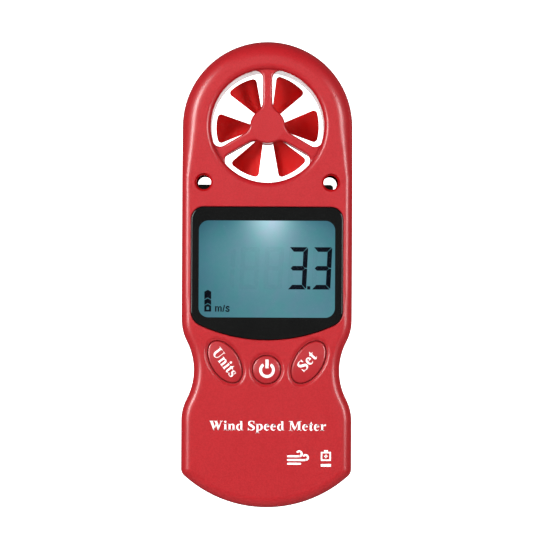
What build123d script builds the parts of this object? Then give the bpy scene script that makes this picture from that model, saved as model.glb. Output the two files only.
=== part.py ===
from build123d import *
import os
from math import sin, cos, asin, acos, atan, sqrt, radians

# Hand-held vane anemometer, 150 mm tall.
# X runs to the right seen from the front, +Y points out of the flat back,
# +Z runs up the case towards the impeller. The working height "z" below is
# measured from the lowest point of the case; every piece is lowered by
# Z_ORIGIN when it is written, so the row origin lies on the flat back at the
# height of the waist, where the instrument is held.

os.makedirs("parts", exist_ok=True)

# ---------------------------------------------------------------- dimensions
LENGTH = 150.0            # overall height
HALF_W = 27.4             # half of the overall width
DEPTH = 22.0              # overall thickness
Z_ORIGIN = 44.1           # height of the waist above the lowest point

Z_HEAD = LENGTH - HALF_W  # centre of the round head
Z_DUCT = 122.7            # height of the impeller axis
R_DUCT = 18.2             # air duct bore radius
R_DUCT_OUT = 19.9         # duct wall outer radius
LIP_R = 1.9               # rounding of the duct mouth, front
LIP_R_REAR = 1.3          # rounding of the duct mouth, rear

WAIST_Z = 44.1
WAIST_HALF_W = 23.43
WAIST_R_OUT = 15.0        # convex shoulder radius
WAIST_R_IN = 20.0         # concave waist radius
BASE_R = 39.4             # radius of the curved bottom
BASE_CORNER_R = 3.0

WALL = 2.0
EDGE_R_HEAD = 5.7         # front edge rounding round the head
EDGE_R_MID = 2.9          # beside the display
EDGE_R_LOW = 3.4          # round the grip and the base
EDGE_R_REAR = 2.4
Z_EDGE_BLEND = 106.0      # above this the front rounding grows to EDGE_R_HEAD
Z_EDGE_MID = 70.0         # above this it is EDGE_R_MID
Z_EDGE_LOW = 61.0         # below this it is EDGE_R_LOW
Y_FRONT = -DEPTH
Y_PART = -10.0            # parting plane between the two case halves
SEAM_W, SEAM_D = 0.35, 0.3
TONGUE_H = 1.0

PORT_X, PORT_Z = 20.4, 104.5
PORT_R = 2.32
PORT_CHAMFER = 0.6
PORT_STEP_R = 2.9          # counterbore round each port, in the front
PORT_STEP_D = 1.25

# display window
LENS_HALF_W = 24.38
LENS_TOP = 96.65
LENS_TOP_R = 4.0
LENS_BOTTOM = 53.93
LENS_BOTTOM_R = 51.5
LENS_CORNER_R = 5.0
LENS_T = 1.5
LENS_Y = -21.7            # front face of the lens
LENS_GAP = 0.1
LEDGE = 1.5

# keys: centre, semi axes, tilt of the long axis from +X towards +Z
KEY_GAP = 0.3
KEYS = {
    "units": (-13.35, 46.9, 7.5, 4.4, 123.3),
    "power": (0.0, 44.45, 4.48, 4.48, 0.0),
    "set": (13.45, 46.9, 7.55, 4.4, 56.7),
}
KEY_DISH = 1.2            # how far the dish reaches past the key
KEY_DISH_R = 1.0          # rounding of the dish's rim
KEY_DISH_D = 0.5
KEY_TRAVEL = 0.4

# impeller
N_BLADES = 6
R_TIP = 16.65
R_IMP_HUB = 5.4
BLADE_HALF_ANGLE = 17.6   # degrees, over which a blade climbs BLADE_DEPTH
BLADE_SPREAD = 21.3       # angle of a blade's side to its centre line
BLADE_ROOT_AT, BLADE_ROOT_HALF_W = 5.9, 1.41
BLADE_TIP_R = 1.2         # rounded tip corners
BLADE_PHASE = 1.6         # how far the wheel is turned when at rest, in degrees
BLADE_DEPTH = 8.6         # axial extent of a blade at its edges
BLADE_T = 0.75
Y_IMP = -11.0             # axial middle of the impeller
SHAFT_R = 0.5
BUSH_BORE_R = 0.55
BUSH_R = 1.5
BUSH_L = 2.0

# battery bay
CELL_R, CELL_T = 10.0, 3.2
CELL_Z = 21.5
CELL_Y = -2.1             # face of the cell nearest the back
DOOR_HALF_W = 13.0
DOOR_TOP = 36.4
DOOR_T = 1.6
DOOR_GAP = 0.15

# circuit board
PCB_T = 1.6
PCB_Y = -13.4             # front face of the board

CASE_SCREWS = [(-17.2, 137.2), (17.2, 137.2), (-21.0, 16.8), (21.0, 16.8)]
PCB_SCREWS = [(-12.6, 101.2), (12.6, 101.2), (-14.6, 35.6), (14.6, 35.6)]


# ------------------------------------------------------------------- helpers
def v(x, y, z):
    return Vector(x, y, z)


def chain(start, segs, y):
    """Closed face in the plane at depth y from (x, z) segments: ("L", p) or ("A", mid, p)."""
    edges = []
    cur = start
    for s in segs:
        if s[0] == "L":
            edges.append(Edge.make_line(v(cur[0], y, cur[1]), v(s[1][0], y, s[1][1])))
            cur = s[1]
        else:
            m, e = s[1], s[2]
            edges.append(
                Edge.make_three_point_arc(
                    v(cur[0], y, cur[1]), v(m[0], y, m[1]), v(e[0], y, e[1])
                )
            )
            cur = e
    return Face(Wire(edges))


def mirror_segs(start, segs):
    """The same chain run backwards on the other side of X = 0."""
    pts = [start] + [s[-1] for s in segs]
    out = []
    for i in range(len(segs) - 1, -1, -1):
        e = (-pts[i][0], pts[i][1])
        if segs[i][0] == "L":
            out.append(("L", e))
        else:
            out.append(("A", (-segs[i][1][0], segs[i][1][1]), e))
    return out


def slab(face, y0, y1):
    """Extrudes a face that lies at depth y0 to depth y1."""
    return extrude(face, amount=y1 - y0, dir=(0, 1, 0)) if y1 > y0 else extrude(
        face, amount=y0 - y1, dir=(0, -1, 0)
    )


def bar(x0, x1, y0, y1, z0, z1):
    return Pos((x0 + x1) / 2, (y0 + y1) / 2, (z0 + z1) / 2) * Box(
        abs(x1 - x0), abs(y1 - y0), abs(z1 - z0)
    )


def rod(x, z, r, y0, y1):
    """Cylinder along Y."""
    return Pos(x, (y0 + y1) / 2, z) * Rot(90, 0, 0) * Cylinder(r, abs(y1 - y0))


def ring(x, z, r_out, r_in, y0, y1):
    return rod(x, z, r_out, y0, y1) - rod(x, z, r_in, y0 - 1, y1 + 1)


def turned(points, cx, cz):
    """Body of revolution about the Y axis through (cx, cz) from (r, y) points."""
    pts = [v(cx + r, y, cz) for r, y in points]
    edges = [Edge.make_line(pts[i], pts[(i + 1) % len(pts)]) for i in range(len(pts))]
    return revolve(Face(Wire(edges)), axis=Axis((cx, 0, cz), (0, 1, 0)), revolution_arc=360)


def oval(cx, cz, a, b, tilt, y):
    """Elliptical (or round) face at depth y."""
    pl = Plane(origin=(cx, y, cz), x_dir=(cos(radians(tilt)), 0, sin(radians(tilt))), z_dir=(0, -1, 0))
    return pl * (Circle(a) if abs(a - b) < 1e-6 else Ellipse(a, b))


def write(name, shape):
    s = Pos(0, 0, -Z_ORIGIN) * shape
    s.label = name
    export_step(s, "parts/" + name + ".step")


# --------------------------------------------------------------- case outline
def lower_outline(d, y, z_top=Z_EDGE_BLEND):
    """Case outline below z_top, moved inwards by d."""
    th = acos(1 - (HALF_W - WAIST_HALF_W) / (WAIST_R_OUT + WAIST_R_IN))
    half = (WAIST_R_OUT + WAIST_R_IN) * sin(th)
    za, zb = WAIST_Z + half, WAIST_Z - half
    w = HALF_W - d
    r1, r2 = WAIST_R_OUT - d, WAIST_R_IN + d
    c1 = (HALF_W - WAIST_R_OUT, za)
    c2 = (WAIST_HALF_W + WAIST_R_IN, WAIST_Z)
    c3 = (HALF_W - WAIST_R_OUT, zb)
    p1 = (c2[0] - r2 * cos(th), WAIST_Z + r2 * sin(th))
    p2 = (p1[0], 2 * WAIST_Z - p1[1])
    rc = BASE_CORNER_R
    zc = BASE_R - sqrt((BASE_R - rc) ** 2 - (HALF_W - rc) ** 2)
    ux, uz = (HALF_W - rc) / (BASE_R - rc), (zc - BASE_R) / (BASE_R - rc)
    e = (ux * (BASE_R - d), BASE_R + uz * (BASE_R - d))
    half_ang = -acos(ux) / 2
    m = (HALF_W - rc + (rc - d) * cos(half_ang), zc + (rc - d) * sin(half_ang))
    start = (w, z_top)
    segs = [
        ("L", (w, za)),
        ("A", (c1[0] + r1 * cos(th / 2), za - r1 * sin(th / 2)), p1),
        ("A", (c2[0] - r2, WAIST_Z), p2),
        ("A", (c3[0] + r1 * cos(th / 2), zb + r1 * sin(th / 2)), (w, zb)),
        ("L", (w, zc)),
        ("A", m, e),
    ]
    full = segs + [("A", (0, d), (-e[0], e[1]))] + mirror_segs(start, segs) + [("L", start)]
    return chain(start, full, y)


def head_outline(d, y, z_low=Z_HEAD):
    r = HALF_W - d
    if z_low >= Z_HEAD - 1e-9:
        return chain((r, Z_HEAD), [("A", (0, Z_HEAD + r), (-r, Z_HEAD)), ("L", (r, Z_HEAD))], y)
    return chain(
        (r, Z_HEAD),
        [
            ("A", (0, Z_HEAD + r), (-r, Z_HEAD)),
            ("L", (-r, z_low)),
            ("L", (r, z_low)),
            ("L", (r, Z_HEAD)),
        ],
        y,
    )


def full_slab(d, y0, y1):
    """Whole outline moved inwards by d, as one straight-sided body."""
    return slab(lower_outline(d, y0), y0, y1) + slab(head_outline(d, y0, Z_EDGE_BLEND), y0, y1)


def section(d, z, y0, y1, rf, rr):
    """Horizontal section of the case at height z: front corners rf, rear corners rr."""
    w = HALF_W - d
    k = sqrt(0.5)

    def p(x, y):
        return v(x, y, z)

    e = [
        Edge.make_line(p(-w + rf, y0), p(w - rf, y0)),
        Edge.make_three_point_arc(p(w - rf, y0), p(w - rf + rf * k, y0 + rf - rf * k), p(w, y0 + rf)),
        Edge.make_line(p(w, y0 + rf), p(w, y1 - rr)),
        Edge.make_three_point_arc(p(w, y1 - rr), p(w - rr + rr * k, y1 - rr + rr * k), p(w - rr, y1)),
        Edge.make_line(p(w - rr, y1), p(-w + rr, y1)),
        Edge.make_three_point_arc(p(-w + rr, y1), p(-w + rr - rr * k, y1 - rr + rr * k), p(-w, y1 - rr)),
        Edge.make_line(p(-w, y1 - rr), p(-w, y0 + rf)),
        Edge.make_three_point_arc(p(-w, y0 + rf), p(-w + rf - rf * k, y0 + rf - rf * k), p(-w + rf, y0)),
    ]
    return Face(Wire(e))


def outer_body():
    y0, y1 = Y_FRONT, 0.0
    low = slab(lower_outline(0, y0, Z_EDGE_LOW), y0, y1)

    def rim(body, y, skip):
        return [
            e
            for e in body.edges()
            if abs(e.center().Y - y) < 1e-4
            and abs(e.bounding_box().size.Y) < 1e-4
            and not (abs(e.center().Z - skip) < 1e-3 and abs(e.bounding_box().size.Z) < 1e-3)
        ]

    low = fillet(rim(low, y0, Z_EDGE_LOW), EDGE_R_LOW)
    low = fillet(rim(low, y1, Z_EDGE_LOW), EDGE_R_REAR)
    head = slab(head_outline(0, y0), y0, y1)
    head = fillet(rim(head, y0, Z_HEAD), EDGE_R_HEAD)
    head = fillet(rim(head, y1, Z_HEAD), EDGE_R_REAR)
    body = low + head
    # the rounding of the straight sides changes evenly between these heights
    steps = [(Z_EDGE_LOW, EDGE_R_LOW), (Z_EDGE_MID, EDGE_R_MID), (Z_EDGE_BLEND, EDGE_R_MID), (Z_HEAD, EDGE_R_HEAD)]
    for (za, ra), (zb, rb) in zip(steps[:-1], steps[1:]):
        body = body + loft(
            [section(0, za, y0, y1, ra, EDGE_R_REAR), section(0, zb, y0, y1, rb, EDGE_R_REAR)], ruled=True
        )
    return body


def cavity():
    y0, y1 = Y_FRONT + WALL, -WALL
    low = slab(lower_outline(WALL, y0), y0, y1)
    head = slab(head_outline(WALL, y0), y0, y1)
    edge = [
        e
        for e in head.edges()
        if abs(e.center().Y - y0) < 1e-4
        and e.bounding_box().size.Y < 1e-4
        and e.bounding_box().size.Z > 1
    ]
    head = fillet(edge, EDGE_R_HEAD - WALL)
    mid = loft(
        [
            section(WALL, Z_EDGE_BLEND, y0, y1, 0.4, 0.3),
            section(WALL, Z_HEAD, y0, y1, EDGE_R_HEAD - WALL, 0.3),
        ],
        ruled=True,
    )
    return low + mid + head


# -------------------------------------------------------------------- spiders
def spider(y_hub, y_wall, y_inner, hub_inner, round_r, arm_w, root_r, hub_r=5.45, neck_r=2.6):
    """Three arms at 90, 210 and 330 degrees carrying a flat hub cap at y_hub, towards -Y.
    The arms slope down to y_wall at the duct wall and are rounded on top; y_inner is their flat side."""
    pl = Plane(origin=(0, y_inner, Z_DUCT), x_dir=(1, 0, 0), z_dir=(0, -1, 0))
    sk = Circle(19.2) - Circle(R_DUCT)
    sk = sk + Circle(hub_r)
    for a in (90, 210, 330):
        sk = sk + Rot(0, 0, a) * Pos(9.4, 0) * Rectangle(18.8, arm_w)
    sk = fillet([t for t in sk.vertices() if 5.0 < sqrt(t.X ** 2 + t.Y ** 2) < 6.0], neck_r)
    sk = fillet([t for t in sk.vertices() if 17.6 < sqrt(t.X ** 2 + t.Y ** 2) < 18.5], root_r)
    body = extrude(pl * sk, amount=abs(y_hub - y_inner) + 1)
    r_cap = 5.2
    body = body & turned(
        [
            (0, y_inner + 1),
            (0, y_hub),
            (r_cap, y_hub),
            (R_DUCT + 1.5, y_wall),
            (R_DUCT + 1.5, y_inner + 1),
        ],
        0,
        Z_DUCT,
    )
    es = []
    for e in body.edges():
        c = e @ 0.5
        ends = [e @ 0, e @ 1, c]
        rr = [sqrt(p.X ** 2 + (p.Z - Z_DUCT) ** 2) for p in ends]
        if max(rr) > R_DUCT + 0.3:
            continue
        if all(abs(q - r_cap) < 1e-3 for q in rr):
            continue
        if abs(c.Y - y_inner) < 0.8 or e.bounding_box().size.Y > 1.6 and e.bounding_box().size.X < 1e-3:
            continue
        es.append(e)
    body = fillet(es, round_r)
    return body + rod(0, Z_DUCT, 4.4, y_inner - 0.5, hub_inner)


# ------------------------------------------------------------------ the lens
def lens_outline(d, y):
    """Display window outline moved inwards by d."""
    w = LENS_HALF_W - d
    rt = LENS_TOP_R - d
    rc = LENS_CORNER_R - d
    cx = LENS_HALF_W - LENS_TOP_R
    ct = LENS_TOP - LENS_TOP_R
    k = sqrt(0.5)
    cz0 = LENS_BOTTOM + LENS_BOTTOM_R
    px = LENS_HALF_W - LENS_CORNER_R
    pz = cz0 - sqrt((LENS_BOTTOM_R - LENS_CORNER_R) ** 2 - px ** 2)
    ux, uz = px / (LENS_BOTTOM_R - LENS_CORNER_R), (pz - cz0) / (LENS_BOTTOM_R - LENS_CORNER_R)
    e = (ux * (LENS_BOTTOM_R - d), cz0 + uz * (LENS_BOTTOM_R - d))
    ha = -acos(ux) / 2
    start = (cx, LENS_TOP - d)
    segs = [
        ("A", (cx + rt * k, ct + rt * k), (w, ct)),
        ("L", (w, pz)),
        ("A", (px + rc * cos(ha), pz + rc * sin(ha)), e),
    ]
    full = segs + [("A", (0, LENS_BOTTOM + d), (-e[0], e[1]))] + mirror_segs(start, segs) + [("L", start)]
    return chain(start, full, y)


# ------------------------------------------------------------------ case body
print("case")
outer = outer_body()
hollow = cavity()
shell = outer - hollow
big = 200
front = shell & bar(-big, big, -big, Y_PART, -big, big + 100)
rear = shell & bar(-big, big, Y_PART, big, -big, big + 100)

# duct wall and screw bosses, kept inside the outer surface
print("front shell")
front = front + rod(0, Z_DUCT, R_DUCT_OUT, Y_FRONT + WALL - 0.2, Y_PART)
for x, z in CASE_SCREWS:
    front = front + rod(x, z, 2.6, Y_FRONT + WALL - 0.2, Y_PART - 0.1)
for x, z in PCB_SCREWS:
    front = front + rod(x, z, 2.0, Y_FRONT + WALL - 0.2, PCB_Y)
# raised frame behind the display window
front = front + (
    slab(lens_outline(-0.8, Y_FRONT + WALL - 0.1), Y_FRONT + WALL - 0.1, -19.2) & full_slab(WALL - 0.2, -21, -19)
)
front = front - rod(0, Z_DUCT, R_DUCT, Y_FRONT - 1, 1)
mouth = [
    e
    for e in front.edges().filter_by(GeomType.CIRCLE)
    if abs(e.radius - R_DUCT) < 1e-3 and abs(e.center().Y - Y_FRONT) < 0.2
]
front = fillet(mouth, LIP_R)
# rebate for the rear shell's tongue
front = front - (full_slab(1.0, Y_PART - TONGUE_H - 0.05, Y_PART + 0.5) - rod(0, Z_DUCT, R_DUCT_OUT, -30, 5)
                 - Compound([rod(x, z, 2.6, -30, 5) for x, z in CASE_SCREWS]))
# display window: lens pocket, ledge opening
pocket = slab(lens_outline(-LENS_GAP, Y_FRONT - 1), Y_FRONT - 1, LENS_Y + LENS_T)
front = front - pocket
front = front - slab(lens_outline(LEDGE, Y_FRONT - 1), Y_FRONT - 1, -18)
rim = [
    e
    for e in front.edges()
    if abs(e.center().Y - Y_FRONT) < 1e-3
    and e.bounding_box().size.Y < 1e-3
    and abs(e.center().X) < LENS_HALF_W + 0.5
    and LENS_BOTTOM - 1 < e.center().Z < LENS_TOP + 1
]
front = fillet(rim, 0.3)
# keys: conical dish, then the hole the key slides in
for cx, cz, a, b, t in KEYS.values():
    o = oval(cx, cz, a + KEY_DISH, b + KEY_DISH, t, Y_FRONT)
    o2 = oval(cx, cz, a + 0.5, b + 0.5, t, Y_FRONT + KEY_DISH_D)
    front = front - loft([o, o2], ruled=True)
    rim = [
        e
        for e in front.edges()
        if abs(e.center().Y - Y_FRONT) < 1e-3
        and e.bounding_box().size.Y < 1e-3
        and sqrt((e.bounding_box().center().X - cx) ** 2 + (e.bounding_box().center().Z - cz) ** 2) < 0.5
        and e.bounding_box().size.X < 2 * (a + 2)
    ]
    print("dish rim edges", len(rim))
    front = fillet(rim, KEY_DISH_R)
    front = front - slab(oval(cx, cz, a + KEY_GAP, b + KEY_GAP, t, Y_FRONT - 1), Y_FRONT - 1, -19)
# through ports beside the display
for s in (-1, 1):
    front = front - rod(s * PORT_X, PORT_Z, PORT_R, Y_FRONT - 1, Y_PART - 2)
    front = front - rod(s * PORT_X, PORT_Z, PORT_STEP_R, Y_FRONT - 1, Y_FRONT + PORT_STEP_D)
for x, z in CASE_SCREWS:
    front = front - rod(x, z, 1.0, -18.0, Y_PART + 1)
for x, z in PCB_SCREWS:
    front = front - rod(x, z, 0.8, -18.4, PCB_Y + 1)
front = front + spider(-21.75, -19.9, -17.6, -17.0, 0.7, 3.1, 2.4, 5.6, 4.0)
front = front - rod(0, Z_DUCT, BUSH_R, -17.0 - BUSH_L, -16)
front = front.clean() if hasattr(front, "clean") else front
print("front shell solids", len(front.solids()), round(front.volume))

print("rear shell")
rear = rear + rod(0, Z_DUCT, R_DUCT_OUT, Y_PART, -WALL + 0.2)
for x, z in CASE_SCREWS:
    rear = rear + rod(x, z, 2.9, Y_PART + 0.1, -WALL + 0.2)
# bay for the coin cell and the thicker floor under the sliding door
bay = rod(0, CELL_Z, 12.1, -7.2, -WALL + 0.2) + bar(-15.6, 15.6, -3.4, -WALL + 0.2, -5, DOOR_TOP + 2.2)
rear = rear + (bay & full_slab(WALL - 0.3, -8, 0))
rear = rear - rod(0, CELL_Z, CELL_R + 0.35, CELL_Y - CELL_T - 0.7, 0.5)
rear = rear - rod(0, CELL_Z, 3.4, -9, 0.5)
rear = rear - bar(-12.2, -9.0, -9, -1.75, CELL_Z - 2.6, CELL_Z + 2.6)
# finger notch to lift the cell out
rear = rear - rod(6.8, CELL_Z + 7.6, 3.6, -4.6, 0.5)
# channel of the sliding door with its side grooves, open at the bottom
rear = rear - bar(-DOOR_HALF_W, DOOR_HALF_W, -DOOR_T - DOOR_GAP, 1, -5, DOOR_TOP)
rear = rear - bar(-DOOR_HALF_W - 1.1, DOOR_HALF_W + 1.1, -DOOR_T - DOOR_GAP, -0.7, -5, DOOR_TOP - 1.2)
rear = rear - rod(0, Z_DUCT, R_DUCT, Y_FRONT - 1, 1)
mouth = [
    e
    for e in rear.edges().filter_by(GeomType.CIRCLE)
    if abs(e.radius - R_DUCT) < 1e-3 and abs(e.center().Y) < 0.2
]
rear = fillet(mouth, LIP_R_REAR)
for x, z in CASE_SCREWS:
    rear = rear - rod(x, z, 1.2, -12, 1)
    rear = rear - rod(x, z, 2.2, -3.4, 1)
for s in (-1, 1):
    rear = rear - rod(s * PORT_X, PORT_Z, PORT_R, -3, 1)
    rear = rear - turned(
        [(0, 0.2), (PORT_R + PORT_CHAMFER + 0.2, 0.2), (PORT_R, -PORT_CHAMFER), (0, -PORT_CHAMFER)],
        s * PORT_X,
        PORT_Z,
    )
# tongue that locates the front shell, and the shadow line at the seam
tongue = full_slab(1.06, Y_PART - TONGUE_H, Y_PART + 0.3) - full_slab(WALL, Y_PART - 3, Y_PART + 3)
tongue = tongue - Compound([rod(x, z, 2.75, -30, Y_PART) for x, z in CASE_SCREWS])
rear = rear + tongue
seam = bar(-60, 60, Y_PART - 0.01, Y_PART + SEAM_W, -20, 170) - full_slab(SEAM_D, Y_PART - 1, Y_PART + 1)
rear = rear - seam
rear = rear + mirror(
    spider(-21.4, -19.9, -17.4, -17.0, 1.0, 2.4, 1.3), about=Plane(origin=(0, -DEPTH / 2, 0), z_dir=(0, 1, 0))
)
rear = rear - rod(0, Z_DUCT, BUSH_R, -6, -5.0 + BUSH_L)
rear = rear.clean() if hasattr(rear, "clean") else rear
print("rear shell solids", len(rear.solids()), round(rear.volume))

print("door")
w = DOOR_HALF_W - DOOR_GAP
door = bar(-w, w, -DOOR_T, 0, -5, DOOR_TOP - DOOR_GAP) & outer
door = door + (bar(-w - 0.9, w + 0.9, -DOOR_T, -0.85, -5, DOOR_TOP - 1.2 - DOOR_GAP) & full_slab(0.05, -3, 0))
# thumb dish with grip bars
dish = slab(oval(0, 29.2, 6.4, 3.6, 0, 0.5), 0.5, -0.55)
door = door - dish
for i in range(5):
    zz = 29.2 + (i - 2) * 1.3
    hw = 6.4 * sqrt(max(0.0, 1 - ((zz - 29.2) / 3.6) ** 2)) - 0.7
    if hw > 1:
        door = door + bar(-hw, hw, -0.7, -0.06, zz - 0.28, zz + 0.28)
print("door solids", len(door.solids()), round(door.volume))

pieces = {"front_shell": front, "rear_shell": rear, "battery_door": door}

print("display")
lens = slab(lens_outline(0, LENS_Y), LENS_Y, LENS_Y + LENS_T)
le = [e for e in lens.edges() if abs(e.center().Y - LENS_Y) < 1e-4 and e.bounding_box().size.Y < 1e-4]
pieces["display_lens"] = chamfer(le, 0.35)
frame_face = bar(-24.2, 24.2, -19.2, -18.8, 57.9, 97.0)
pieces["lcd_gasket"] = frame_face - bar(-22.6, 22.6, -20, -18, 60.3, 93.4)
pieces["lcd_panel"] = bar(-23.4, 23.4, -18.8, -16.6, 58.4, 96.2)
pieces["light_guide"] = bar(-22.4, 22.4, -16.5, -14.5, 61.0, 94.2)
pieces["backlight_led"] = bar(-1.5, 1.5, -16.4, -14.9, 94.3, 95.5)
holder = bar(-24.4, 24.4, -18.6, PCB_Y, 57.6, 97.2) - bar(-23.5, 23.5, -19, -14.4, 58.3, 96.3)
holder = holder - bar(-20.4, 20.4, -19, -13, 58.3, 60.5)
holder = holder - bar(-1.8, 1.8, -17, -13, 94.25, 96.3)
pieces["lcd_holder"] = holder
pieces["elastomer_connector"] = bar(-20.2, 20.2, -16.6, PCB_Y, 58.5, 60.3)

print("board")
pcb = bar(-17.4, 17.4, PCB_Y, PCB_Y + PCB_T, 8.6, 41.0) + bar(-19.2, 19.2, PCB_Y, PCB_Y + PCB_T, 40.5, 58.5)
up = bar(-23.8, 21.35, PCB_Y, PCB_Y + PCB_T, 58.0, 104.05)
ce = [
    e
    for e in up.edges().filter_by(Axis.Y)
    if e.center().Z > 100
]
up = fillet(ce, 1.0)
pcb = pcb + up
pcb = pcb - rod(0, Z_DUCT, 20.6, -20, -5)
for x, z in PCB_SCREWS:
    pcb = pcb - rod(x, z, 1.1, -20, -5)
pieces["main_pcb"] = pcb
yb = PCB_Y + PCB_T
pieces["controller_chip"] = chamfer((bar(-5, 5, yb, yb + 1.4, 72, 82)).edges().group_by(Axis.Y)[-1], 0.2)
xt = Pos(11.5, yb + 1.4, 66) * Rot(0, 90, 0) * Cylinder(1.4, 8.0)
pieces["crystal"] = xt
pieces["hall_sensor"] = bar(-2.05, 2.05, PCB_Y - 1.55, PCB_Y, 98.3, 101.3)
bead = Pos(-15.6, PCB_Y - 1.0, 105.0) * Sphere(0.95)
pieces["thermistor"] = bead + bar(-16.0, -15.2, PCB_Y - 0.75, PCB_Y, 99.6, 104.8)
caps = []
for x, z in ((-12, 70), (-12, 74), (-12, 78), (12, 74), (12, 78), (-8, 88), (8, 88), (0, 92)):
    caps.append(bar(x - 1.0, x + 1.0, yb, yb + 0.9, z - 0.6, z + 0.6))
pieces["chip_capacitors"] = Compound(caps)

print("keys")
switches = []
for name, (cx, cz, a, b, t) in KEYS.items():
    body = slab(oval(cx, cz, a, b, t, -23.2), -23.2, -19.0)
    dome_r = 30.0 if name != "power" else 15.0
    apex = -22.4
    body = body & (Pos(cx, apex + dome_r, cz) * Sphere(dome_r))
    te = [e for e in body.edges() if e.center().Y < -20.5]
    body = fillet(te, 0.55)
    body = body + slab(oval(cx, cz, a + 0.8, b + 0.8, t, -19.85), -19.85, -18.9)
    body = body + rod(cx, cz, 1.7, -18.95, -15.62)
    pieces[name + "_button"] = body
    pieces[name + "_plunger"] = rod(cx, cz, 0.85, -15.6, -14.75)
    sw = bar(cx - 2.25, cx + 2.25, PCB_Y - 1.6, PCB_Y, cz - 2.25, cz + 2.25)
    switches.append(sw - rod(cx, cz, 1.0, -16, PCB_Y - 0.7))
pieces["tact_switches"] = Compound(switches)

print("impeller")
def blade(az):
    """One helical blade lofted through five radial stations, then trimmed to its outline."""
    faces = []
    lead = BLADE_DEPTH / radians(2 * BLADE_HALF_ANGLE)   # axial rise per radian
    for r in (4.2, 7.3, 10.4, 13.5, 17.6):
        ang = atan(lead / r)
        half_w = r * radians(BLADE_HALF_ANGLE) * 1.18
        chord = 2 * half_w / cos(ang)
        pl = Plane(origin=(0, 0, r), x_dir=(cos(ang), sin(ang), 0), z_dir=(0, 0, 1))
        faces.append((pl * Rectangle(chord, BLADE_T)).face())
    b = loft(faces)
    # plan trim: straight sides that spread by BLADE_SPREAD, and rounded tip corners
    rt, rc = R_TIP, BLADE_TIP_R
    ux, uz = sin(radians(BLADE_SPREAD)), cos(radians(BLADE_SPREAD))
    nx, nz = uz, -ux
    c = nx * (BLADE_ROOT_HALF_W - BLADE_ROOT_AT * ux / uz)   # distance of the side from the axis
    t = sqrt((rt - rc) ** 2 - (c - rc) ** 2)
    cxp, czp = nx * (c - rc) + ux * t, nz * (c - rc) + uz * t
    ps = (cxp + nx * rc, czp + nz * rc)
    pe = (cxp * rt / (rt - rc), czp * rt / (rt - rc))
    mx, mz = nx + cxp / (rt - rc), nz + czp / (rt - rc)
    ml = sqrt(mx * mx + mz * mz)
    mx, mz = cxp + rc * mx / ml, czp + rc * mz / ml
    inner_r = 4.6
    p0 = (BLADE_ROOT_HALF_W + (inner_r - BLADE_ROOT_AT) * ux / uz, inner_r)
    segs = [("L", ps), ("A", (mx, mz), pe), ("A", (0, rt), (-pe[0], pe[1])),
            ("A", (-mx, mz), (-ps[0], ps[1])), ("L", (-p0[0], p0[1])), ("L", p0)]
    trim = slab(chain(p0, segs, -12), -12, 12)
    b = b & trim
    return Pos(0, Y_IMP, Z_DUCT) * Rot(0, az, 0) * b


hub_front, hub_rear = -16.5, -5.5
imp = rod(0, Z_DUCT, R_IMP_HUB, hub_front, hub_rear)
he = [e for e in imp.edges().filter_by(GeomType.CIRCLE)]
imp = fillet(he, 0.8)
for i in range(N_BLADES):
    imp = imp + blade(90 + 60 * i - BLADE_PHASE)
imp = imp - rod(0, Z_DUCT, SHAFT_R, -20, 0)
imp = imp - ring(0, Z_DUCT, 4.2, 1.4, hub_rear - 3.0, hub_rear + 1)
pieces["impeller"] = imp
print("impeller solids", len(imp.solids()), round(imp.volume))
pieces["impeller_magnet"] = ring(0, Z_DUCT, 4.2, 1.4, hub_rear - 3.0, hub_rear - 0.4)
pieces["impeller_shaft"] = turned(
    [(0, -18.75), (0.3, -18.75), (SHAFT_R, -18.55), (SHAFT_R, -3.45), (0.3, -3.25), (0, -3.25)], 0, Z_DUCT
)
pieces["front_bearing"] = ring(0, Z_DUCT, BUSH_R, BUSH_BORE_R, -17.0 - BUSH_L, -17.0)
pieces["rear_bearing"] = ring(0, Z_DUCT, BUSH_R, BUSH_BORE_R, -5.0, -5.0 + BUSH_L)

print("battery")
cell = rod(0, CELL_Z, CELL_R, CELL_Y - CELL_T * 0.84, CELL_Y)
cell = fillet(cell.edges().group_by(Axis.Y)[-1], 0.5)
cell = cell + rod(0, CELL_Z, 8.6, CELL_Y - CELL_T, CELL_Y - CELL_T * 0.84 + 0.01)
pieces["coin_cell"] = cell
yn = CELL_Y - CELL_T
neg = bar(-2.2, 2.2, yn - 0.35, yn - 0.02, CELL_Z - 2.0, CELL_Z + 2.0) + bar(-0.9, 0.9, PCB_Y + PCB_T, yn - 0.3, CELL_Z - 0.2, CELL_Z + 0.2)
pieces["battery_contact_neg"] = neg
pos = bar(-10.75, -10.38, yn + 0.2, -2.2, CELL_Z - 1.8, CELL_Z + 1.8)
pos = pos + bar(-10.75, -10.38, PCB_Y + PCB_T, yn + 0.3, CELL_Z - 0.7, CELL_Z + 0.7)
pieces["battery_contact_pos"] = pos

print("screws")
def cross(x, z, y_top, depth, arm, width):
    return bar(x - arm, x + arm, y_top - depth, y_top + 1, z - width / 2, z + width / 2) + bar(
        x - width / 2, x + width / 2, y_top - depth, y_top + 1, z - arm, z + arm
    )


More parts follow.
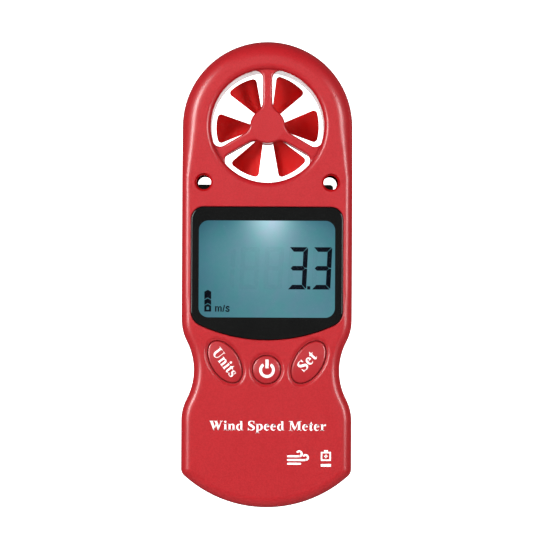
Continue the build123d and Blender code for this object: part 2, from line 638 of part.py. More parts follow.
case_s = []
for x, z in CASE_SCREWS:
    s = turned(
        [(0, -15.2), (0.35, -15.2), (1.0, -14.2), (1.0, -3.38), (1.9, -3.38), (1.9, -2.5), (1.5, -1.95), (0.9, -1.75), (0, -1.7)],
        x, z,
    )
    case_s.append(s - cross(x, z, -1.7, 0.9, 1.05, 0.42))
pieces["case_screws"] = Compound(case_s)
pcb_s = []
for x, z in PCB_SCREWS:
    s = turned(
        [(0, -17.6), (0.3, -17.6), (0.8, -17.0), (0.8, yb + 0.02), (1.6, yb + 0.02), (1.6, yb + 0.6), (1.2, yb + 1.0), (0, yb + 1.1)],
        x, z,
    )
    pcb_s.append(s - cross(x, z, yb + 1.1, 0.6, 0.8, 0.36))
pieces["pcb_screws"] = Compound(pcb_s)

print("write")
for n, s in pieces.items():
    write(n, s)
print("done", len(pieces))
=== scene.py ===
import math

import bmesh
import bpy
from mathutils import Matrix, Vector
from mathutils.bvhtree import BVHTree


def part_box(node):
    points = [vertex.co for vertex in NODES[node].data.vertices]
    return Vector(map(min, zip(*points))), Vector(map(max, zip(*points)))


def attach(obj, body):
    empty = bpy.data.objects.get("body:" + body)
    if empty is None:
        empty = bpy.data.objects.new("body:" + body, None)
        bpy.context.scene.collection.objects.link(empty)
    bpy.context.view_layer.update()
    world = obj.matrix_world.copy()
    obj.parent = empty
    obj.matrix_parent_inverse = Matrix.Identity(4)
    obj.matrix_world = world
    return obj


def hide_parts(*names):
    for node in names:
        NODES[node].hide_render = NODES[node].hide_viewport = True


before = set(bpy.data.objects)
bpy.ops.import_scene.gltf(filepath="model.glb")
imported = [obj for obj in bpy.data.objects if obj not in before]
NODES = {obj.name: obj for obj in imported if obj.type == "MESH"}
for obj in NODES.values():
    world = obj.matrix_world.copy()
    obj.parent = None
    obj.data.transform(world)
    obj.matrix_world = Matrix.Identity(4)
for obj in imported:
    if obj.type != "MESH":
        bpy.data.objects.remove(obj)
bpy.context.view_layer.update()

MM = 0.001

# The row origin is on the flat back at the waist; heights below are given in
# millimetres above the lowest point of the case and lowered here.
Z0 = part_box("front_shell")[0].z * 1000.0
Y_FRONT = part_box("front_shell")[0].y * 1000.0


def P(x, y, z):
    return Vector((x * MM, y * MM, (z + Z0) * MM))


# ------------------------------------------------------------------ materials
def new_mat(name):
    m = bpy.data.materials.new(name)
    m.use_nodes = True
    nt = m.node_tree
    for n in list(nt.nodes):
        nt.nodes.remove(n)
    out = nt.nodes.new("ShaderNodeOutputMaterial")
    bs = nt.nodes.new("ShaderNodeBsdfPrincipled")
    nt.links.new(bs.outputs[0], out.inputs[0])
    return m, nt, bs


def coords(nt):
    return nt.nodes.new("ShaderNodeTexCoord").outputs["Object"]


def noise(nt, scale, detail=3.0, rough=0.5, vec=None, distortion=0.0):
    n = nt.nodes.new("ShaderNodeTexNoise")
    n.inputs["Scale"].default_value = scale
    n.inputs["Detail"].default_value = detail
    n.inputs["Roughness"].default_value = rough
    n.inputs["Distortion"].default_value = distortion
    nt.links.new(vec if vec is not None else coords(nt), n.inputs["Vector"])
    return n


def ramp(nt, fac, stops):
    r = nt.nodes.new("ShaderNodeValToRGB")
    while len(r.color_ramp.elements) < len(stops):
        r.color_ramp.elements.new(0.5)
    for e, (p, c) in zip(r.color_ramp.elements, stops):
        e.position = p
        e.color = (*c, 1) if len(c) == 3 else c
    nt.links.new(fac, r.inputs[0])
    return r


def map_range(nt, fac, a, b, c, d):
    r = nt.nodes.new("ShaderNodeMapRange")
    for k, val in zip(("From Min", "From Max", "To Min", "To Max"), (a, b, c, d)):
        r.inputs[k].default_value = val
    nt.links.new(fac, r.inputs[0])
    return r.outputs[0]


def bump(nt, height, strength, distance, normal=None):
    b = nt.nodes.new("ShaderNodeBump")
    b.inputs["Strength"].default_value = strength
    b.inputs["Distance"].default_value = distance
    nt.links.new(height, b.inputs["Height"])
    if normal is not None:
        nt.links.new(normal, b.inputs["Normal"])
    return b.outputs[0]


def math_node(nt, op, a, b=None, clamp=False):
    n = nt.nodes.new("ShaderNodeMath")
    n.operation = op
    n.use_clamp = clamp
    for i, s in enumerate((a, b)):
        if s is None:
            continue
        if isinstance(s, (int, float)):
            n.inputs[i].default_value = s
        else:
            nt.links.new(s, n.inputs[i])
    return n.outputs[0]


def plastic(name, dark, light, rough, grain_scale, grain, mottle=90.0, sss=0.0, spec=0.5, ior=1.5, coat=0.0, coat_rough=(0.08, 0.08), speckle=0.0, painted_port_shade=False):
    """Moulded plastic: a slow colour drift, uneven gloss and the fine grain of the mould, with an optional painted
    shade round the sensor ports.
    """
    m, nt, bs = new_mat(name)
    n1 = noise(nt, mottle, 4.0, 0.55)
    drift = n1.outputs["Fac"]
    if speckle:
        ns = noise(nt, 2300.0, 2.0, 0.6)
        fine = map_range(nt, ns.outputs["Fac"], 0.36, 0.64, 0.0, 1.0)
        drift = math_node(nt, "ADD", math_node(nt, "MULTIPLY", drift, 1.0 - speckle), math_node(nt, "MULTIPLY", fine, speckle))
    if painted_port_shade:
        # painted shade: deep red with little gloss in the step round each sensor port, standing for the shade that
        # gathers there
        xyz = nt.nodes.new("ShaderNodeSeparateXYZ")
        nt.links.new(coords(nt), xyz.inputs[0])
        ax = math_node(nt, "SUBTRACT", math_node(nt, "ABSOLUTE", xyz.outputs["X"]), 20.4 * MM)
        az = math_node(nt, "SUBTRACT", xyz.outputs["Z"], (104.5 + Z0) * MM)
        r2 = math_node(nt, "ADD", math_node(nt, "MULTIPLY", ax, ax), math_node(nt, "MULTIPLY", az, az))
        outside_port_shade = map_range(nt, math_node(nt, "SQRT", r2), 2.86 * MM, 3.02 * MM, 0.0, 1.0)
        drift = math_node(nt, "MULTIPLY", math_node(nt, "ADD", math_node(nt, "MULTIPLY", drift, 0.8), 0.2), outside_port_shade)
        c = ramp(nt, drift, [(0.0, (0.370, 0.0010, 0.0030)), (0.16, (0.330, 0.0018, 0.0045)), (0.40, dark), (0.80, light)])
    else:
        c = ramp(nt, drift, [(0.3, dark), (0.7, light)])
    nt.links.new(c.outputs[0], bs.inputs["Base Color"])
    n2 = noise(nt, mottle * 3.1, 3.0, 0.6)
    nt.links.new(map_range(nt, n2.outputs["Fac"], 0.3, 0.7, rough[0], rough[1]), bs.inputs["Roughness"])
    if grain > 0:
        n3 = noise(nt, grain_scale, 2.0, 0.6)
        n4 = noise(nt, 260.0, 2.0, 0.5)
        b1 = bump(nt, n4.outputs["Fac"], 0.10, 0.00008)
        nt.links.new(bump(nt, n3.outputs["Fac"], grain, 0.00003, b1), bs.inputs["Normal"])
    bs.inputs["Specular IOR Level"].default_value = spec
    # painted shade round the ports also takes away most of the specular and coat there
    if painted_port_shade:
        nt.links.new(math_node(nt, "ADD", math_node(nt, "MULTIPLY", outside_port_shade, spec - 0.06), 0.06), bs.inputs["Specular IOR Level"])
    bs.inputs["IOR"].default_value = ior
    if sss:
        bs.inputs["Subsurface Weight"].default_value = sss
        bs.inputs["Subsurface Radius"].default_value = (0.0030, 0.0004, 0.0004)
        bs.inputs["Subsurface Scale"].default_value = 1.0
    if coat:
        bs.inputs["Coat Weight"].default_value = coat
        if painted_port_shade:
            nt.links.new(math_node(nt, "MULTIPLY", outside_port_shade, coat), bs.inputs["Coat Weight"])
        n5 = noise(nt, mottle * 5.0, 3.0, 0.6)
        nt.links.new(map_range(nt, n5.outputs["Fac"], 0.3, 0.7, coat_rough[0], coat_rough[1]), bs.inputs["Coat Roughness"])
        n6 = noise(nt, 2300.0, 2.0, 0.6)
        nt.links.new(bump(nt, n6.outputs["Fac"], 0.6, 0.00003), bs.inputs["Coat Normal"])
    return m


def metal(name, base, rough, scale_axis=(1, 1, 1), grain=0.25):
    m, nt, bs = new_mat(name)
    mp = nt.nodes.new("ShaderNodeMapping")
    mp.inputs["Scale"].default_value = scale_axis
    nt.links.new(coords(nt), mp.inputs["Vector"])
    n1 = noise(nt, 900.0, 4.0, 0.6, mp.outputs[0])
    d = tuple(x * 0.82 for x in base)
    c = ramp(nt, n1.outputs["Fac"], [(0.3, d), (0.7, base)])
    nt.links.new(c.outputs[0], bs.inputs["Base Color"])
    nt.links.new(map_range(nt, n1.outputs["Fac"], 0.3, 0.7, rough * 0.8, rough * 1.25), bs.inputs["Roughness"])
    nt.links.new(bump(nt, n1.outputs["Fac"], grain, 0.00002), bs.inputs["Normal"])
    bs.inputs["Metallic"].default_value = 1.0
    return m


# the case red carries a painted shade in the step round each sensor port
CASE = plastic("case_red", (0.320, 0.0036, 0.0076), (0.378, 0.0064, 0.0108), (0.42, 0.50), 2300.0, 1.0, spec=0.31, painted_port_shade=True, coat=0.62, coat_rough=(0.21, 0.27), speckle=0.6)
KEY = plastic("key_red", (0.315, 0.0052, 0.0094), (0.352, 0.0076, 0.0122), (0.36, 0.44), 5200.0, 0.08, coat=0.7, coat_rough=(0.13, 0.18))
VANE = plastic("impeller_red", (0.50, 0.014, 0.013), (0.56, 0.019, 0.018), (0.52, 0.60), 3800.0, 0.05, mottle=60.0, sss=0.65, spec=0.14)
INK_BLACK = plastic("lens_border_black", (0.0030, 0.0032, 0.0032), (0.0042, 0.0044, 0.0042), (0.10, 0.16), 800.0, 0.02)
BOARD = plastic("board_black", (0.006, 0.007, 0.0065), (0.011, 0.012, 0.011), (0.30, 0.42), 1400.0, 0.3)
EPOXY = plastic("epoxy_black", (0.012, 0.012, 0.013), (0.022, 0.022, 0.023), (0.5, 0.62), 3000.0, 0.4)
WHITE_PL = plastic("white_plastic", (0.74, 0.74, 0.71), (0.80, 0.80, 0.77), (0.4, 0.5), 2600.0, 0.15)
FOAM = plastic("black_foam", (0.012, 0.012, 0.012), (0.024, 0.024, 0.024), (0.85, 0.95), 2200.0, 0.8)
ZEBRA = plastic("elastomer", (0.09, 0.09, 0.09), (0.18, 0.18, 0.18), (0.6, 0.7), 2200.0, 0.2)
TAN = plastic("ceramic_tan", (0.36, 0.25, 0.15), (0.44, 0.32, 0.2), (0.45, 0.55), 2500.0, 0.2)
GUIDE = plastic("light_guide", (0.80, 0.88, 0.92), (0.86, 0.93, 0.96), (0.25, 0.35), 2500.0, 0.1)
STEEL = metal("plated_steel", (0.62, 0.62, 0.64), 0.30)
BRASS = metal("brass", (0.78, 0.55, 0.25), 0.28)
MAGNET = metal("nickel_magnet", (0.56, 0.56, 0.58), 0.22)

# print: pad-printed white, slightly raised, with tiny density variation
PRINT, nt, bs = new_mat("print_white")
n = noise(nt, 1500.0, 3.0, 0.6)
c = ramp(nt, n.outputs["Fac"], [(0.25, (0.84, 0.82, 0.82)), (0.6, (0.93, 0.92, 0.92))])
nt.links.new(c.outputs[0], bs.inputs["Base Color"])
nt.links.new(map_range(nt, n.outputs["Fac"], 0.3, 0.7, 0.42, 0.55), bs.inputs["Roughness"])

# clear acrylic of the window
CLEAR, nt, bs = new_mat("lens_clear")
n = noise(nt, 140.0, 3.0, 0.5)
nt.links.new(map_range(nt, n.outputs["Fac"], 0.3, 0.7, 0.05, 0.09), bs.inputs["Roughness"])
bs.inputs["Base Color"].default_value = (0.004, 0.006, 0.006, 1)
bs.inputs["Alpha"].default_value = 0.03
bs.inputs["IOR"].default_value = 1.49

# backlit liquid crystal panel: teal, bright patch under the lamp at the top middle
LCD, nt, bs = new_mat("lcd_backlit")
co = nt.nodes.new("ShaderNodeTexCoord").outputs["Object"]
sep = nt.nodes.new("ShaderNodeSeparateXYZ")
nt.links.new(co, sep.inputs[0])


def spot(nt, sep, cx, cz, rx, rz, power):
    dx = math_node(nt, "DIVIDE", math_node(nt, "SUBTRACT", sep.outputs["X"], cx * MM), rx * MM)
    dz = math_node(nt, "DIVIDE", math_node(nt, "SUBTRACT", sep.outputs["Z"], (cz + Z0) * MM), rz * MM)
    r2 = math_node(nt, "ADD", math_node(nt, "MULTIPLY", dx, dx), math_node(nt, "MULTIPLY", dz, dz))
    g = math_node(nt, "POWER", 2.718, math_node(nt, "MULTIPLY", r2, -1.0))
    return math_node(nt, "MULTIPLY", g, power)


glow = math_node(nt, "ADD", spot(nt, sep, 0.83, 97.75, 7.05, 10.64, 0.582), spot(nt, sep, -2.28, 90.81, 42.06, 25.65, 0.502))
slope = math_node(nt, "MULTIPLY", math_node(nt, "SUBTRACT", sep.outputs["Z"], (77.0 + Z0) * MM), -0.194 / (16.0 * MM))
slope = math_node(nt, "ADD", slope, math_node(nt, "MULTIPLY", sep.outputs["X"], 0.0366 / (22.0 * MM)))
glow = math_node(nt, "ADD", math_node(nt, "ADD", glow, slope), -0.072)
nz = noise(nt, 70.0, 2.0, 0.5, co)
nf = noise(nt, 1100.0, 2.0, 0.5, co)
mott = math_node(nt, "ADD", math_node(nt, "MULTIPLY", nz.outputs["Fac"], 0.03), math_node(nt, "MULTIPLY", nf.outputs["Fac"], 0.02))
glow = math_node(nt, "ADD", math_node(nt, "SUBTRACT", glow, 0.025), mott, clamp=True)
cr = ramp(
    nt,
    glow,
    [
        (0.0, (0.010, 0.042, 0.066)),
        (0.13, (0.037, 0.136, 0.186)),
        (0.22, (0.068, 0.224, 0.274)),
        (0.30, (0.124, 0.306, 0.362)),
        (0.41, (0.200, 0.418, 0.480)),
        (0.52, (0.305, 0.532, 0.604)),
        (0.64, (0.425, 0.652, 0.768)),
        (0.80, (0.610, 0.815, 0.935)),
    ],
)
# faint violet and green clouds of the polariser
tint = nt.nodes.new("ShaderNodeMix")
tint.data_type = "RGBA"
tint.blend_type = "MULTIPLY"
tint.inputs["Factor"].default_value = 1.0
clouds = ramp(nt, noise(nt, 170.0, 3.0, 0.6, co, 0.6).outputs["Fac"], [(0.34, (1.10, 0.97, 1.02)), (0.66, (0.91, 1.03, 0.985))])
nt.links.new(cr.outputs[0], tint.inputs["A"])
nt.links.new(clouds.outputs[0], tint.inputs["B"])
nt.links.new(tint.outputs["Result"], bs.inputs["Emission Color"])
bs.inputs["Emission Strength"].default_value = 1.0
bs.inputs["Base Color"].default_value = (0.002, 0.004, 0.004, 1)
bs.inputs["Roughness"].default_value = 0.4
bs.inputs["Specular IOR Level"].default_value = 0.1

# dark liquid crystal segments, and the faint ones that are off
SEG, nt, bs = new_mat("segment_dark")
n = noise(nt, 400.0, 2.0, 0.5)
c = ramp(nt, n.outputs["Fac"], [(0.3, (0.0004, 0.0018, 0.0055)), (0.7, (0.0008, 0.0028, 0.0075))])
nt.links.new(c.outputs[0], bs.inputs["Base Color"])
bs.inputs["Roughness"].default_value = 0.45
bs.inputs["Specular IOR Level"].default_value = 0.1
GHOST, nt, bs = new_mat("segment_off")
n = noise(nt, 260.0, 2.0, 0.5)
c = ramp(nt, n.outputs["Fac"], [(0.3, (0.012, 0.02, 0.05)), (0.7, (0.016, 0.025, 0.06))])
nt.links.new(c.outputs[0], bs.inputs["Base Color"])
bs.inputs["Roughness"].default_value = 0.5
bs.inputs["Alpha"].default_value = 0.045

MAT_OF = {
    "front_shell": CASE, "rear_shell": CASE, "battery_door": CASE,
    "lcd_gasket": FOAM, "lcd_panel": LCD, "light_guide": GUIDE, "backlight_led": WHITE_PL,
    "lcd_holder": WHITE_PL, "elastomer_connector": ZEBRA, "main_pcb": BOARD, "controller_chip": EPOXY,
    "crystal": STEEL, "hall_sensor": EPOXY, "thermistor": EPOXY, "chip_capacitors": TAN,
    "tact_switches": EPOXY, "units_button": KEY, "power_button": KEY, "set_button": KEY,
    "units_plunger": WHITE_PL, "power_plunger": WHITE_PL, "set_plunger": WHITE_PL,
    "impeller": VANE, "impeller_magnet": MAGNET, "impeller_shaft": STEEL,
    "front_bearing": BRASS, "rear_bearing": BRASS, "coin_cell": STEEL,
    "battery_contact_neg": STEEL, "battery_contact_pos": STEEL, "case_screws": STEEL, "pcb_screws": STEEL,
}
for name, mat in MAT_OF.items():
    o = NODES[name]
    o.data.materials.clear()
    o.data.materials.append(mat)


# -------------------------------------------------------------- mesh builders
def poly_mesh(name, contours_sets, to3d, y_front, thick, mat, body, spacing=None, drape=None):
    """Flat printed shapes. Each entry of contours_sets is (outer, [holes]) in 2D millimetres.
    to3d maps (u, v) to (x, z). With drape, each point is laid on that surface."""
    bm = bmesh.new()
    for outer, holes in contours_sets:
        cu = bpy.data.curves.new("tmp", "CURVE")
        cu.dimensions = "2D"
        cu.fill_mode = "FRONT"
        for ring in [outer] + list(holes):
            pts = resample(ring, spacing) if spacing else ring
            sp = cu.splines.new("POLY")
            sp.points.add(len(pts) - 1)
            for p, (u, w) in zip(sp.points, pts):
                p.co = (u, w, 0, 1)
            sp.use_cyclic_u = True
        ob = bpy.data.objects.new("tmp", cu)
        bpy.context.scene.collection.objects.link(ob)
        dg = bpy.context.evaluated_depsgraph_get()
        me = bpy.data.meshes.new_from_object(ob.evaluated_get(dg))
        b2 = bmesh.new()
        b2.from_mesh(me)
        bmesh.ops.remove_doubles(b2, verts=b2.verts, dist=1e-5)
        if spacing:
            long_edges = [e for e in b2.edges if e.calc_length() > spacing * 2.2]
            for _ in range(3):
                long_edges = [e for e in b2.edges if e.calc_length() > spacing * 2.2 and not e.is_boundary]
                if not long_edges:
                    break
                bmesh.ops.subdivide_edges(b2, edges=long_edges, cuts=1)
                bmesh.ops.triangulate(b2, faces=b2.faces)
        base = []
        for vtx in b2.verts:
            x, z = to3d(vtx.co.x, vtx.co.y)
            y = y_front
            if drape is not None:
                hit = drape.ray_cast(P(x, y_front - 8, z), Vector((0, 1, 0)))
                if hit[0] is not None:
                    y = hit[0].y * 1000.0
            base.append((x, y, z))
        top = [bm.verts.new(P(x, y - thick, z)) for x, y, z in base]
        low = [bm.verts.new(P(x, y + 0.02, z)) for x, y, z in base]
        b2.verts.index_update()
        for f in b2.faces:
            idx = [vv.index for vv in f.verts]
            bm.faces.new([top[i] for i in idx])
            bm.faces.new([low[i] for i in reversed(idx)])
        for e in b2.edges:
            if e.is_boundary:
                a, b = e.verts[0].index, e.verts[1].index
                bm.faces.new([top[a], top[b], low[b], low[a]])
        b2.free()
        bpy.data.objects.remove(ob)
        bpy.data.curves.remove(cu)
        bpy.data.meshes.remove(me)
    bmesh.ops.recalc_face_normals(bm, faces=bm.faces)
    mesh = bpy.data.meshes.new(name)
    bm.to_mesh(mesh)
    bm.free()
    ob = bpy.data.objects.new(name, mesh)
    bpy.context.scene.collection.objects.link(ob)
    mesh.materials.append(mat)
    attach(ob, body)
    return ob


def resample(ring, step):
    out = []
    n = len(ring)
    for i in range(n):
        a, b = ring[i], ring[(i + 1) % n]
        d = math.dist(a, b)
        k = max(1, int(math.ceil(d / step)))
        for j in range(k):
            t = j / k
            out.append((a[0] + (b[0] - a[0]) * t, a[1] + (b[1] - a[1]) * t))
    return out


def bvh_of(node):
    bm = bmesh.new()
    bm.from_mesh(NODES[node].data)
    t = BVHTree.FromBMesh(bm)
    bm.free()
    return t


# ------------------------------------------------- bold serif letters, 1 = cap
def arc(cx, cy, rx, ry, a0, a1, n=18):
    return [
        (cx + rx * math.cos(math.radians(a0 + (a1 - a0) * i / n)), cy + ry * math.sin(math.radians(a0 + (a1 - a0) * i / n)))
        for i in range(n + 1)
    ]


def ring_shape(cx, cy, ro, ri, n=40):
    """Closed bowl: outer ellipse with an elliptical counter."""
    o = arc(cx, cy, ro[0], ro[1], 0, 360, n)[:-1]
    i = arc(cx, cy, ri[0], ri[1], 0, 360, n)[:-1]
    return (o, [i])


def band(cx, cy, ro, ri, a0, a1, n=20):
    """Part of a bowl, between two ellipses that share a centre."""
    return (arc(cx, cy, ro[0], ro[1], a0, a1, n) + arc(cx, cy, ri[0], ri[1], a1, a0, n), [])


def box2(x0, y0, x1, y1):
    return ([(x0, y0), (x1, y0), (x1, y1), (x0, y1)], [])


def foot(x0, x1, sx0, sx1, y, up, t=0.035, br=0.05):
    """Bracketed slab serif from sx0 to sx1 on a stem x0..x1, its flat side at y."""
    s = 1 if up else -1
    left = [(sx0, y), (sx0, y + s * t * 0.8)]
    right = [(sx1, y + s * t * 0.8), (sx1, y)]
    if sx0 < x0 - 1e-6:
        left += [(x0 - br * 0.45, y + s * (t + br * 0.18)), (x0, y + s * (t + br))]
    else:
        left += [(x0, y + s * (t + br))]
    if sx1 > x1 + 1e-6:
        r = [(x1, y + s * (t + br)), (x1 + br * 0.45, y + s * (t + br * 0.18))]
    else:
        r = [(x1, y + s * (t + br))]
    return (left + r + right, [])


def stroke2(pts, widths, n=8):
    """Pen stroke of changing width along a smooth line."""
    P_ = [Vector(p) for p in pts]
    out_c, out_w = [], []
    for i in range(len(P_) - 1):
        p0 = P_[max(i - 1, 0)]
        p1, p2 = P_[i], P_[i + 1]
        p3 = P_[min(i + 2, len(P_) - 1)]
        for j in range(n + (i == len(P_) - 2)):
            t = j / n
            q = 0.5 * ((2 * p1) + (p2 - p0) * t + (2 * p0 - 5 * p1 + 4 * p2 - p3) * t * t + (3 * p1 - p0 - 3 * p2 + p3) * t ** 3)
            out_c.append(q)
            out_w.append(widths[i] + (widths[i + 1] - widths[i]) * t)
    left, right = [], []
    for i, q in enumerate(out_c):
        a = out_c[max(i - 1, 0)]
        b = out_c[min(i + 1, len(out_c) - 1)]
        d = (b - a).normalized()
        nrm = Vector((-d.y, d.x)) * out_w[i] / 2
        left.append(tuple(q + nrm))
        right.append(tuple(q - nrm))
    return (left + right[::-1], [])


SW = 0.215     # main stem, capitals
LW = 0.195     # main stem, small letters
XH = 0.685     # height of small letters

GLYPHS = {}
GLYPHS["U"] = (1.04, [
    box2(0.16, 0.30, 0.16 + SW, 1.0), foot(0.16, 0.16 + SW, 0.02, 0.53, 1.0, False),
    box2(0.79, 0.34, 0.845, 1.0), foot(0.79, 0.845, 0.66, 0.98, 1.0, False, br=0.03),
    (arc(0.5025, 0.34, 0.3425, 0.355, 180, 360, 24) + arc(0.5825, 0.34, 0.2075, 0.275, 360, 180, 24), []),
])
GLYPHS["S"] = (0.80, [
    stroke2([(0.655, 0.70), (0.58, 0.93), (0.375, 0.985), (0.17, 0.86), (0.20, 0.64), (0.42, 0.49), (0.62, 0.34), (0.61, 0.12), (0.37, 0.012), (0.17, 0.10), (0.075, 0.33)],
            [0.03, 0.05, 0.055, 0.17, 0.235, 0.25, 0.225, 0.15, 0.055, 0.05, 0.03]),
    ([(0.625, 0.70), (0.69, 0.70), (0.70, 1.01), (0.66, 1.01), (0.60, 0.90)], []),
    ([(0.105, 0.33), (0.05, 0.33), (0.04, -0.01), (0.085, -0.01), (0.15, 0.10)], []),
])
GLYPHS["W"] = (1.44, [
    ([(0.10, 0.97), (0.34, 0.97), (0.585, 0.32), (0.50, -0.015), (0.455, -0.015)], []),
    ([(0.50, -0.015), (0.455, -0.015), (0.485, 0.22), (0.68, 0.74), (0.715, 0.62)], []),
    ([(0.56, 0.97), (0.80, 0.97), (1.03, 0.32), (0.955, -0.015), (0.91, -0.015)], []),
    ([(0.955, -0.015), (0.91, -0.015), (0.955, 0.26), (1.20, 0.97), (1.27, 0.97)], []),
    box2(0.02, 0.965, 0.42, 1.0), box2(0.48, 0.965, 0.88, 1.0), box2(1.10, 0.965, 1.41, 1.0),
])
GLYPHS["M"] = (1.38, [
    box2(0.19, 0.0, 0.245, 0.97), foot(0.19, 0.245, 0.04, 0.40, 0.0, True, br=0.03),
    ([(0.05, 1.0), (0.05, 0.965), (0.16, 0.95), (0.60, -0.005), (0.645, -0.005), (0.71, 0.20), (0.40, 1.0)], []),
    ([(0.60, -0.005), (0.645, -0.005), (1.06, 1.0), (0.98, 1.0), (0.65, 0.19)], []),
    box2(0.985, 0.0, 0.985 + SW, 1.0), foot(0.985, 0.985 + SW, 0.85, 1.34, 0.0, True),
    box2(0.985, 0.965, 1.34, 1.0),
])
GLYPHS["i"] = (0.42, [
    box2(0.11, 0.0, 0.11 + LW, XH), foot(0.11, 0.11 + LW, 0.03, 0.385, 0.0, True),
    box2(0.03, XH - 0.035, 0.11 + LW, XH),
    (arc(0.20, 0.90, 0.115, 0.115, 0, 360, 24)[:-1], []),
])
GLYPHS["n"] = (0.82, [
    box2(0.11, 0.0, 0.11 + LW, XH), foot(0.11, 0.11 + LW, 0.03, 0.375, 0.0, True), box2(0.03, XH - 0.035, 0.11 + LW, XH),
    box2(0.515, 0.0, 0.515 + LW, 0.46), foot(0.515, 0.515 + LW, 0.445, 0.79, 0.0, True),
    (arc(0.49, 0.46, 0.22, 0.245, 0, 140, 18) + arc(0.40, 0.44, 0.115, 0.155, 140, 0, 18), []),
])
GLYPHS["t"] = (0.50, [
    box2(0.115, 0.16, 0.115 + LW, XH + 0.02),
    box2(0.02, XH - 0.065, 0.455, XH),
    ([(0.02, XH - 0.065), (0.115 + LW, XH - 0.065), (0.115 + LW, 0.93), (0.28, 0.93), (0.16, 0.75)], []),
    (arc(0.265, 0.16, 0.15, 0.178, 180, 300, 14) + [(0.475, 0.13), (0.445, 0.155), (0.385, 0.08)] + arc(0.35, 0.13, 0.04, 0.06, 270, 180, 8), []),
])
GLYPHS["s"] = (0.58, [
    stroke2([(0.455, 0.46), (0.40, 0.62), (0.27, 0.668), (0.135, 0.58), (0.16, 0.44), (0.30, 0.345), (0.44, 0.24), (0.43, 0.09), (0.28, 0.012), (0.13, 0.07), (0.06, 0.225)],
            [0.025, 0.04, 0.045, 0.12, 0.17, 0.185, 0.165, 0.11, 0.045, 0.04, 0.025]),
    ([(0.43, 0.465), (0.475, 0.465), (0.48, 0.695), (0.45, 0.695), (0.405, 0.61)], []),
    ([(0.085, 0.225), (0.04, 0.225), (0.035, -0.01), (0.07, -0.01), (0.12, 0.07)], []),
])
GLYPHS["e"] = (0.66, [
    (arc(0.325, 0.335, 0.29, 0.36, 8, 322, 40) + arc(0.40, 0.335, 0.185, 0.285, 312, 60, 26)
     + arc(0.355, 0.42, 0.10, 0.215, 75, 170, 10)[:1], []),
    box2(0.20, 0.36, 0.60, 0.405),
    (arc(0.36, 0.40, 0.245, 0.295, 0, 100, 14) + arc(0.33, 0.40, 0.10, 0.235, 100, 0, 14), []),
])
GLYPHS["d"] = (0.80, [
    box2(0.48, 0.0, 0.48 + LW, 1.0), box2(0.40, 0.965, 0.48 + LW, 1.0), box2(0.48, 0.0, 0.775, 0.035),
    (arc(0.36, 0.335, 0.305, 0.355, 40, 320, 36) + arc(0.405, 0.335, 0.155, 0.275, 310, 50, 28), []),
])
GLYPHS["p"] = (0.82, [
    box2(0.115, -0.30, 0.115 + LW, XH), box2(0.03, XH - 0.035, 0.115 + LW, XH), foot(0.115, 0.115 + LW, 0.03, 0.40, -0.30, True),
    (arc(0.44, 0.345, 0.305, 0.355, -140, 140, 36) + arc(0.395, 0.345, 0.155, 0.275, 130, -130, 28), []),
])
GLYPHS["r"] = (0.64, [
    box2(0.11, 0.0, 0.11 + LW, XH), foot(0.11, 0.11 + LW, 0.03, 0.40, 0.0, True), box2(0.03, XH - 0.035, 0.11 + LW, XH),
    (arc(0.505, 0.585, 0.105, 0.105, 0, 360, 20)[:-1], []),
    ([(0.29, 0.40), (0.36, 0.58), (0.48, 0.69), (0.54, 0.66), (0.44, 0.60), (0.34, 0.46), (0.30, 0.34)], []),
])


def word(text, cap, track=0.0):
    """Contours of a word in millimetres, its left edge at 0, and its width."""
    x, out = 0.0, []
    for ch in text:
        if ch == " ":
            x += 0.40
            continue
        adv, shapes = GLYPHS[ch]
        for outer, holes in shapes:
            out.append(([((px + x) * cap, py * cap) for px, py in outer], [[((px + x) * cap, py * cap) for px, py in h] for h in holes]))
        x += adv + track
    return out, x * cap


def placed(cx, cz, width, height, angle=0.0, squeeze=1.0):
    """Maps word millimetres to the case front, centred on (cx, cz) and turned by angle."""
    ca, sa = math.cos(math.radians(angle)), math.sin(math.radians(angle))

    def f(u, w):
        a, b = (u - width / 2) * squeeze, w - height / 2
        return cx + a * ca - b * sa, cz + a * sa + b * ca

    return f


face = Y_FRONT
w_, width = word("Wind Speed Meter", 2.98, 0.012)
poly_mesh("print_title", w_, placed(0.5, 26.5, width, 2.98, 0.0, 37.6 / width), face, 0.03, PRINT, "case")

units_bvh, set_bvh, power_bvh = bvh_of("units_button"), bvh_of("set_button"), bvh_of("power_button")
w_, width = word("Units", 3.3)
poly_mesh("print_units", w_, placed(-13.2, 46.8, width, 3.3, -52.0, 10.3 / width), -21.0, 0.035, PRINT, "units_key", spacing=0.35, drape=units_bvh)
w_, width = word("Set", 3.4)
poly_mesh("print_set", w_, placed(12.95, 47.3, width, 3.4, 48.0, 6.7 / width), -21.0, 0.035, PRINT, "set_key", spacing=0.35, drape=set_bvh)

# power symbol: open ring and bar
pr, ps = 2.50, 0.88
ringp = band(0, 0, (pr, pr), (pr - ps, pr - ps), 124, 416, 48)
barp = box2(-0.47, 0.60, 0.47, 3.35)
poly_mesh("print_power", [ringp, barp], lambda u, w: (u + 0.15, 44.35 + w), -21.0, 0.035, PRINT, "power_key", spacing=0.35, drape=power_bvh)


# pictograms: air stream, and a cell with a bar under it
def pill(x0, x1, y, t):
    return (arc(x1, y, t / 2, t / 2, -90, 90, 8) + arc(x0, y, t / 2, t / 2, 90, 270, 8), [])


